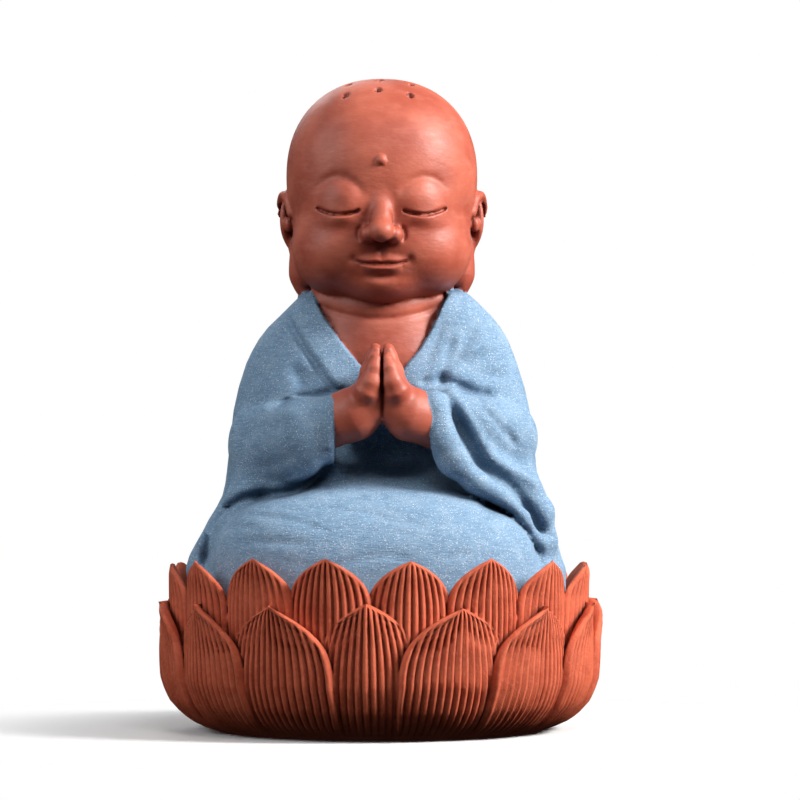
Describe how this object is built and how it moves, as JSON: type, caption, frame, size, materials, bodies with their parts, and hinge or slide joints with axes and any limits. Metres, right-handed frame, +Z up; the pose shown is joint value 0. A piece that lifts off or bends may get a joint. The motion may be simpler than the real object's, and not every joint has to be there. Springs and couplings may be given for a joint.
{
  "type": "baby monk statue",
  "caption": "Clay novice monk with a bald round head, closed eyes and pressed hands, robed, seated in an open lotus bowl of ribbed petals.",
  "frame": {"origin": "middle of the seat's flat underside", "axes": "+Z up through the figure's crown, the figure faces -Y, +X to the viewer's right"},
  "size_m": [0.1124, 0.1128, 0.1629],
  "materials": {
    "slip_clay": "unglazed red clay, robe brushed with a sandy pale blue slip",
    "brick_clay": "matt unglazed brick red clay"
  },
  "bodies": {
    "root": {"monk_figure": "slip_clay", "lotus_seat": "brick_clay"}
  },
  "joints": []
}
